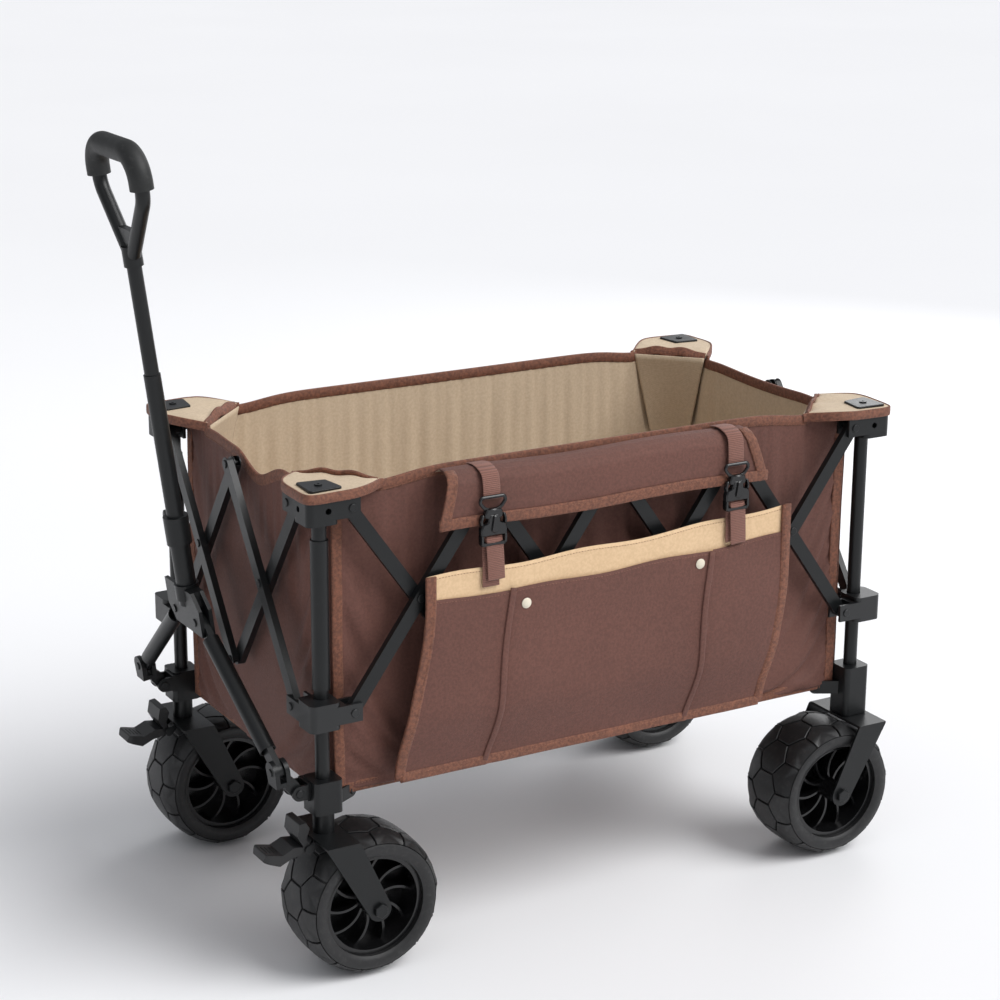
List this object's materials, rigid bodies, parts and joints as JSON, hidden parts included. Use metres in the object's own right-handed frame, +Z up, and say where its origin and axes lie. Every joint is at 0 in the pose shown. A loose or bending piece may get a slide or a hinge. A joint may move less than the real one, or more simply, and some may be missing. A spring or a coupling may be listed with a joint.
{
  "type": "folding beach cart",
  "caption": "Four-way folding camp cart: scissor frame, fabric tub with an outside pocket, fat tyres, front swivel casters with foot brakes and a telescoping pull handle.",
  "frame": {"origin": "on the ground under the middle of the bounding box", "axes": "+Z up, -X the front where the pull handle is, -Y the left side that carries the pocket"},
  "size_m": [1.0603, 0.583, 1.0639],
  "materials": {
    "brown_canvas": "matte",
    "pocket_canvas": "matte",
    "mat_cloth": "matte",
    "grip_foam": "matte",
    "tyre_rubber": "matte",
    "rim_plastic": "gloss",
    "bracket_plastic": "satin",
    "pedal_plastic": "satin",
    "frame_metal": "satin"
  },
  "bodies": {
    "left_falling_bar_1": {"left_falling_bar_1": "frame_metal"},
    "left_rising_bar_1": {"left_rising_bar_1": "frame_metal"},
    "left_falling_bar_2": {"left_falling_bar_2": "frame_metal"},
    "left_rising_bar_2": {"left_rising_bar_2": "frame_metal"},
    "left_falling_bar_3": {"left_falling_bar_3": "frame_metal"},
    "left_rising_bar_3": {"left_rising_bar_3": "frame_metal"},
    "left_falling_bar_4": {"left_falling_bar_4": "frame_metal"},
    "left_rising_bar_4": {"left_rising_bar_4": "frame_metal"},
    "front_falling_bar_1": {"front_falling_bar_1": "frame_metal"},
    "front_rising_bar_1": {"front_rising_bar_1": "frame_metal"},
    "front_falling_bar_2": {"front_falling_bar_2": "frame_metal"},
    "front_rising_bar_2": {"front_rising_bar_2": "frame_metal"},
    "right_falling_bar_1": {"right_falling_bar_1": "frame_metal"},
    "right_rising_bar_1": {"right_rising_bar_1": "frame_metal"},
    "right_falling_bar_2": {"right_falling_bar_2": "frame_metal"},
    "right_rising_bar_2": {"right_rising_bar_2": "frame_metal"},
    "right_falling_bar_3": {"right_falling_bar_3": "frame_metal"},
    "right_rising_bar_3": {"right_rising_bar_3": "frame_metal"},
    "right_falling_bar_4": {"right_falling_bar_4": "frame_metal"},
    "right_rising_bar_4": {"right_rising_bar_4": "frame_metal"},
    "rear_falling_bar_1": {"rear_falling_bar_1": "frame_metal"},
    "rear_rising_bar_1": {"rear_rising_bar_1": "frame_metal"},
    "rear_falling_bar_2": {"rear_falling_bar_2": "frame_metal"},
    "rear_rising_bar_2": {"rear_rising_bar_2": "frame_metal"},
    "front_left_post": {"front_left_post": "frame_metal", "fabric_tub": "brown_canvas", "floor_mat": "mat_cloth", "side_pocket": "pocket_canvas"},
    "front_right_post": {"front_right_post": "frame_metal"},
    "rear_left_post": {"rear_left_post": "frame_metal"},
    "rear_right_post": {"rear_right_post": "frame_metal"},
    "front_left_collar": {"front_left_collar": "bracket_plastic"},
    "front_left_strut": {"front_left_strut": "frame_metal"},
    "front_right_collar": {"front_right_collar": "bracket_plastic"},
    "front_right_strut": {"front_right_strut": "frame_metal"},
    "rear_left_collar": {"rear_left_collar": "bracket_plastic"},
    "rear_left_strut": {"rear_left_strut": "frame_metal"},
    "rear_right_collar": {"rear_right_collar": "bracket_plastic"},
    "rear_right_strut": {"rear_right_strut": "frame_metal"},
    "floor_hub": {"floor_hub": "frame_metal"},
    "front_left_fork": {"front_left_fork": "frame_metal"},
    "front_left_brake_pedal": {"front_left_brake_pedal": "pedal_plastic"},
    "front_right_fork": {"front_right_fork": "frame_metal"},
    "front_right_brake_pedal": {"front_right_brake_pedal": "pedal_plastic"},
    "front_left_wheel": {"front_left_rim": "rim_plastic", "front_left_tyre": "tyre_rubber"},
    "front_right_wheel": {"front_right_rim": "rim_plastic", "front_right_tyre": "tyre_rubber"},
    "rear_left_wheel": {"rear_left_rim": "rim_plastic", "rear_left_tyre": "tyre_rubber"},
    "rear_right_wheel": {"rear_right_rim": "rim_plastic", "rear_right_tyre": "tyre_rubber"},
    "handle_block_left": {"handle_block_left": "frame_metal"},
    "handle_leg_left": {"handle_leg_left": "frame_metal"},
    "handle_block_right": {"handle_block_right": "frame_metal"},
    "handle_leg_right": {"handle_leg_right": "frame_metal"},
    "handle_junction": {"handle_junction": "frame_metal"},
    "handle_middle_tube": {"handle_middle_tube": "frame_metal"},
    "handle_top_tube": {"handle_top_tube": "frame_metal", "foam_grip": "grip_foam"}
  },
  "joints": [
    {"name": "frame_fold", "type": "hinge", "parent": "front_left_post", "child": "left_falling_bar_1", "pos_m": [-0.32384, -0.2405, 0.628], "axis": [0, 1, 0], "range_deg": [0, 25.7], "deforming": ["fabric_tub", "floor_mat", "side_pocket"]},
    {"name": "left_lower_pivot_1", "type": "hinge", "parent": "left_falling_bar_1", "child": "left_rising_bar_2", "pos_m": [-0.13034, -0.2405, 0.35896], "axis": [0, 1, 0], "range_deg": [-51.9, 0.5]},
    {"name": "left_upper_pivot_2", "type": "hinge", "parent": "left_rising_bar_2", "child": "left_falling_bar_3", "pos_m": [0.06316, -0.2405, 0.628], "axis": [0, 1, 0], "range_deg": [-0.5, 51.9]},
    {"name": "left_lower_pivot_3", "type": "hinge", "parent": "left_falling_bar_3", "child": "left_rising_bar_4", "pos_m": [0.25666, -0.2405, 0.35896], "axis": [0, 1, 0], "range_deg": [-51.9, 0.5]},
    {"name": "left_centre_pivot_1", "type": "hinge", "parent": "left_falling_bar_1", "child": "left_rising_bar_1", "pos_m": [-0.22709, -0.2405, 0.49348], "axis": [0, 1, 0], "range_deg": [-51.9, 0.5]},
    {"name": "left_centre_pivot_2", "type": "hinge", "parent": "left_rising_bar_2", "child": "left_falling_bar_2", "pos_m": [-0.03359, -0.2405, 0.49348], "axis": [0, 1, 0], "range_deg": [-0.5, 51.9]},
    {"name": "left_centre_pivot_3", "type": "hinge", "parent": "left_falling_bar_3", "child": "left_rising_bar_3", "pos_m": [0.15991, -0.2405, 0.49348], "axis": [0, 1, 0], "range_deg": [-51.9, 0.5]},
    {"name": "left_centre_pivot_4", "type": "hinge", "parent": "left_rising_bar_4", "child": "left_falling_bar_4", "pos_m": [0.35341, -0.2405, 0.49348], "axis": [0, 1, 0], "range_deg": [-0.5, 51.9]},
    {"name": "left_end_pivot", "type": "hinge", "parent": "left_rising_bar_4", "child": "rear_left_post", "pos_m": [0.45016, -0.2405, 0.628], "axis": [0, 1, 0], "range_deg": [-0.5, 26.2]},
    {"name": "front_left_collar_pivot", "type": "hinge", "parent": "left_rising_bar_1", "child": "front_left_collar", "pos_m": [-0.32384, -0.2405, 0.35896], "axis": [0, 1, 0], "range_deg": [-0.5, 26.2]},
    {"name": "rear_left_collar_pivot", "type": "hinge", "parent": "left_falling_bar_4", "child": "rear_left_collar", "pos_m": [0.45016, -0.2405, 0.35896], "axis": [0, 1, 0], "range_deg": [-26.2, 0.5]},
    {"name": "front_bar_1_fold", "type": "hinge", "parent": "front_left_post", "child": "front_falling_bar_1", "pos_m": [-0.37084, -0.1935, 0.628], "axis": [1, 0, 0], "range_deg": [-26.2, 0.5]},
    {"name": "front_lower_pivot_1", "type": "hinge", "parent": "front_falling_bar_1", "child": "front_rising_bar_2", "pos_m": [-0.37084, 0, 0.35896], "axis": [1, 0, 0], "range_deg": [-0.5, 51.9]},
    {"name": "front_centre_pivot_1", "type": "hinge", "parent": "front_falling_bar_1", "child": "front_rising_bar_1", "pos_m": [-0.37084, -0.09675, 0.49348], "axis": [1, 0, 0], "range_deg": [-0.5, 51.9]},
    {"name": "front_centre_pivot_2", "type": "hinge", "parent": "front_rising_bar_2", "child": "front_falling_bar_2", "pos_m": [-0.37084, 0.09675, 0.49348], "axis": [1, 0, 0], "range_deg": [-51.9, 0.5]},
    {"name": "front_end_pivot", "type": "hinge", "parent": "front_rising_bar_2", "child": "front_right_post", "pos_m": [-0.37084, 0.1935, 0.628], "axis": [1, 0, 0], "range_deg": [-26.2, 0.5]},
    {"name": "right_bar_1_fold", "type": "hinge", "parent": "front_right_post", "child": "right_falling_bar_1", "pos_m": [-0.32384, 0.2405, 0.628], "axis": [0, 1, 0], "range_deg": [-0.5, 26.2]},
    {"name": "right_lower_pivot_1", "type": "hinge", "parent": "right_falling_bar_1", "child": "right_rising_bar_2", "pos_m": [-0.13034, 0.2405, 0.35896], "axis": [0, 1, 0], "range_deg": [-51.9, 0.5]},
    {"name": "right_upper_pivot_2", "type": "hinge", "parent": "right_rising_bar_2", "child": "right_falling_bar_3", "pos_m": [0.06316, 0.2405, 0.628], "axis": [0, 1, 0], "range_deg": [-0.5, 51.9]},
    {"name": "right_lower_pivot_3", "type": "hinge", "parent": "right_falling_bar_3", "child": "right_rising_bar_4", "pos_m": [0.25666, 0.2405, 0.35896], "axis": [0, 1, 0], "range_deg": [-51.9, 0.5]},
    {"name": "right_centre_pivot_1", "type": "hinge", "parent": "right_falling_bar_1", "child": "right_rising_bar_1", "pos_m": [-0.22709, 0.2405, 0.49348], "axis": [0, 1, 0], "range_deg": [-51.9, 0.5]},
    {"name": "right_centre_pivot_2", "type": "hinge", "parent": "right_rising_bar_2", "child": "right_falling_bar_2", "pos_m": [-0.03359, 0.2405, 0.49348], "axis": [0, 1, 0], "range_deg": [-0.5, 51.9]},
    {"name": "right_centre_pivot_3", "type": "hinge", "parent": "right_falling_bar_3", "child": "right_rising_bar_3", "pos_m": [0.15991, 0.2405, 0.49348], "axis": [0, 1, 0], "range_deg": [-51.9, 0.5]},
    {"name": "right_centre_pivot_4", "type": "hinge", "parent": "right_rising_bar_4", "child": "right_falling_bar_4", "pos_m": [0.35341, 0.2405, 0.49348], "axis": [0, 1, 0], "range_deg": [-0.5, 51.9]},
    {"name": "right_end_pivot", "type": "hinge", "parent": "right_rising_bar_4", "child": "rear_right_post", "pos_m": [0.45016, 0.2405, 0.628], "axis": [0, 1, 0], "range_deg": [-0.5, 26.2]},
    {"name": "front_right_collar_pivot", "type": "hinge", "parent": "right_rising_bar_1", "child": "front_right_collar", "pos_m": [-0.32384, 0.2405, 0.35896], "axis": [0, 1, 0], "range_deg": [-0.5, 26.2]},
    {"name": "rear_right_collar_pivot", "type": "hinge", "parent": "right_falling_bar_4", "child": "rear_right_collar", "pos_m": [0.45016, 0.2405, 0.35896], "axis": [0, 1, 0], "range_deg": [-26.2, 0.5]},
    {"name": "rear_bar_1_fold", "type": "hinge", "parent": "rear_left_post", "child": "rear_falling_bar_1", "pos_m": [0.49716, -0.1935, 0.628], "axis": [1, 0, 0], "range_deg": [-26.2, 0.5]},
    {"name": "rear_lower_pivot_1", "type": "hinge", "parent": "rear_falling_bar_1", "child": "rear_rising_bar_2", "pos_m": [0.49716, 0, 0.35896], "axis": [1, 0, 0], "range_deg": [-0.5, 51.9]},
    {"name": "rear_centre_pivot_1", "type": "hinge", "parent": "rear_falling_bar_1", "child": "rear_rising_bar_1", "pos_m": [0.49716, -0.09675, 0.49348], "axis": [1, 0, 0], "range_deg": [-0.5, 51.9]},
    {"name": "rear_centre_pivot_2", "type": "hinge", "parent": "rear_rising_bar_2", "child": "rear_falling_bar_2", "pos_m": [0.49716, 0.09675, 0.49348], "axis": [1, 0, 0], "range_deg": [-51.9, 0.5]},
    {"name": "front_left_strut_fold", "type": "hinge", "parent": "front_left_post", "child": "front_left_strut", "pos_m": [-0.31283, -0.20277, 0.236], "axis": [0.4747, -0.8802, 0], "range_deg": [-0.5, 84.8]},
    {"name": "front_right_strut_fold", "type": "hinge", "parent": "front_right_post", "child": "front_right_strut", "pos_m": [-0.31283, 0.20277, 0.236], "axis": [-0.4747, -0.8802, 0], "range_deg": [-0.5, 84.8]},
    {"name": "rear_left_strut_fold", "type": "hinge", "parent": "rear_left_post", "child": "rear_left_strut", "pos_m": [0.43915, -0.20277, 0.236], "axis": [0.4747, 0.8802, 0], "range_deg": [-0.5, 84.8]},
    {"name": "rear_right_strut_fold", "type": "hinge", "parent": "rear_right_post", "child": "rear_right_strut", "pos_m": [0.43915, 0.20277, 0.236], "axis": [-0.4747, 0.8802, 0], "range_deg": [-0.5, 84.8]},
    {"name": "floor_hub_pivot", "type": "hinge", "parent": "front_left_strut", "child": "floor_hub", "pos_m": [-0.01606, -0.04272, 0.236], "axis": [0.4747, -0.8802, 0], "range_deg": [-84.8, 0.5]},
    {"name": "front_left_swivel", "type": "hinge", "parent": "front_left_post", "child": "front_left_fork", "pos_m": [-0.35684, -0.2265, 0.225], "axis": [0, 0, 1], "continuous": true},
    {"name": "front_left_brake", "type": "hinge", "parent": "front_left_fork", "child": "front_left_brake_pedal", "pos_m": [-0.38784, -0.2265, 0.184], "axis": [0, -1, 0], "range_deg": [0, 14]},
    {"name": "front_right_swivel", "type": "hinge", "parent": "front_right_post", "child": "front_right_fork", "pos_m": [-0.35684, 0.2265, 0.225], "axis": [0, 0, 1], "continuous": true},
    {"name": "front_right_brake", "type": "hinge", "parent": "front_right_fork", "child": "front_right_brake_pedal", "pos_m": [-0.38784, 0.2265, 0.184], "axis": [0, -1, 0], "range_deg": [0, 14]},
    {"name": "front_left_wheel_spin", "type": "hinge", "parent": "front_left_fork", "child": "front_left_wheel", "pos_m": [-0.30684, -0.2265, 0.097], "axis": [0, 1, 0], "continuous": true},
    {"name": "front_right_wheel_spin", "type": "hinge", "parent": "front_right_fork", "child": "front_right_wheel", "pos_m": [-0.30684, 0.2265, 0.097], "axis": [0, 1, 0], "continuous": true},
    {"name": "rear_left_wheel_spin", "type": "hinge", "parent": "rear_left_post", "child": "rear_left_wheel", "pos_m": [0.43316, -0.2265, 0.097], "axis": [0, 1, 0], "continuous": true},
    {"name": "rear_right_wheel_spin", "type": "hinge", "parent": "rear_right_post", "child": "rear_right_wheel", "pos_m": [0.43316, 0.2265, 0.097], "axis": [0, 1, 0], "continuous": true},
    {"name": "handle_tilt", "type": "hinge", "parent": "front_left_post", "child": "handle_block_left", "pos_m": [-0.39184, -0.218, 0.255], "axis": [0, -1, 0], "range_deg": [-5, 80]},
    {"name": "handle_leg_fold_left", "type": "hinge", "parent": "handle_block_left", "child": "handle_leg_left", "pos_m": [-0.41484, -0.218, 0.287], "axis": [0.9914, 0, 0.1305], "range_deg": [-0.5, 40.09]},
    {"name": "handle_tilt_right", "type": "hinge", "parent": "front_right_post", "child": "handle_block_right", "pos_m": [-0.39184, 0.218, 0.255], "axis": [0, -1, 0], "range_deg": [-5.5, 80.5]},
    {"name": "handle_leg_fold_right", "type": "hinge", "parent": "handle_block_right", "child": "handle_leg_right", "pos_m": [-0.41484, 0.218, 0.287], "axis": [0.9914, 0, 0.1305], "range_deg": [-40.09, 0.5]},
    {"name": "handle_junction_pivot", "type": "hinge", "parent": "handle_leg_left", "child": "handle_junction", "pos_m": [-0.43397, -0.033, 0.43228], "axis": [0.9914, 0, 0.1305], "range_deg": [-40.09, 0.5]},
    {"name": "handle_middle_slide", "type": "slide", "parent": "handle_junction", "child": "handle_middle_tube", "axis": [-0.1305, 0, 0.9914], "range_m": [-0.072, 0]},
    {"name": "handle_top_slide", "type": "slide", "parent": "handle_middle_tube", "child": "handle_top_tube", "axis": [-0.1305, 0, 0.9914], "range_m": [-0.135, 0]}
  ],
  "couplings": [
    {"joint": "left_lower_pivot_1", "follows": "frame_fold", "ratio": -2},
    {"joint": "left_upper_pivot_2", "follows": "frame_fold", "ratio": 2},
    {"joint": "left_lower_pivot_3", "follows": "frame_fold", "ratio": -2},
    {"joint": "left_centre_pivot_1", "follows": "frame_fold", "ratio": -2},
    {"joint": "left_centre_pivot_2", "follows": "frame_fold", "ratio": 2},
    {"joint": "left_centre_pivot_3", "follows": "frame_fold", "ratio": -2},
    {"joint": "left_centre_pivot_4", "follows": "frame_fold", "ratio": 2},
    {"joint": "left_end_pivot", "follows": "frame_fold", "ratio": 1},
    {"joint": "front_left_collar_pivot", "follows": "frame_fold", "ratio": 1},
    {"joint": "rear_left_collar_pivot", "follows": "frame_fold", "ratio": -1},
    {"joint": "front_bar_1_fold", "follows": "frame_fold", "ratio": -1},
    {"joint": "front_lower_pivot_1", "follows": "frame_fold", "ratio": 2},
    {"joint": "front_centre_pivot_1", "follows": "frame_fold", "ratio": 2},
    {"joint": "front_centre_pivot_2", "follows": "frame_fold", "ratio": -2},
    {"joint": "front_end_pivot", "follows": "frame_fold", "ratio": -1},
    {"joint": "right_bar_1_fold", "follows": "frame_fold", "ratio": 1},
    {"joint": "right_lower_pivot_1", "follows": "frame_fold", "ratio": -2},
    {"joint": "right_upper_pivot_2", "follows": "frame_fold", "ratio": 2},
    {"joint": "right_lower_pivot_3", "follows": "frame_fold", "ratio": -2},
    {"joint": "right_centre_pivot_1", "follows": "frame_fold", "ratio": -2},
    {"joint": "right_centre_pivot_2", "follows": "frame_fold", "ratio": 2},
    {"joint": "right_centre_pivot_3", "follows": "frame_fold", "ratio": -2},
    {"joint": "right_centre_pivot_4", "follows": "frame_fold", "ratio": 2},
    {"joint": "right_end_pivot", "follows": "frame_fold", "ratio": 1},
    {"joint": "front_right_collar_pivot", "follows": "frame_fold", "ratio": 1},
    {"joint": "rear_right_collar_pivot", "follows": "frame_fold", "ratio": -1},
    {"joint": "rear_bar_1_fold", "follows": "frame_fold", "ratio": -1},
    {"joint": "rear_lower_pivot_1", "follows": "frame_fold", "ratio": 2},
    {"joint": "rear_centre_pivot_1", "follows": "frame_fold", "ratio": 2},
    {"joint": "rear_centre_pivot_2", "follows": "frame_fold", "ratio": -2},
    {"joint": "front_left_strut_fold", "follows": "frame_fold", "ratio": 3.2802},
    {"joint": "front_right_strut_fold", "follows": "frame_fold", "ratio": 3.2802},
    {"joint": "rear_left_strut_fold", "follows": "frame_fold", "ratio": 3.2802},
    {"joint": "rear_right_strut_fold", "follows": "frame_fold", "ratio": 3.2802},
    {"joint": "floor_hub_pivot", "follows": "frame_fold", "ratio": -3.2802},
    {"joint": "handle_leg_fold_left", "follows": "frame_fold", "ratio": 1.5404},
    {"joint": "handle_tilt_right", "follows": "handle_tilt", "ratio": 1},
    {"joint": "handle_leg_fold_right", "follows": "frame_fold", "ratio": -1.5404},
    {"joint": "handle_junction_pivot", "follows": "frame_fold", "ratio": -1.5404}
  ]
}
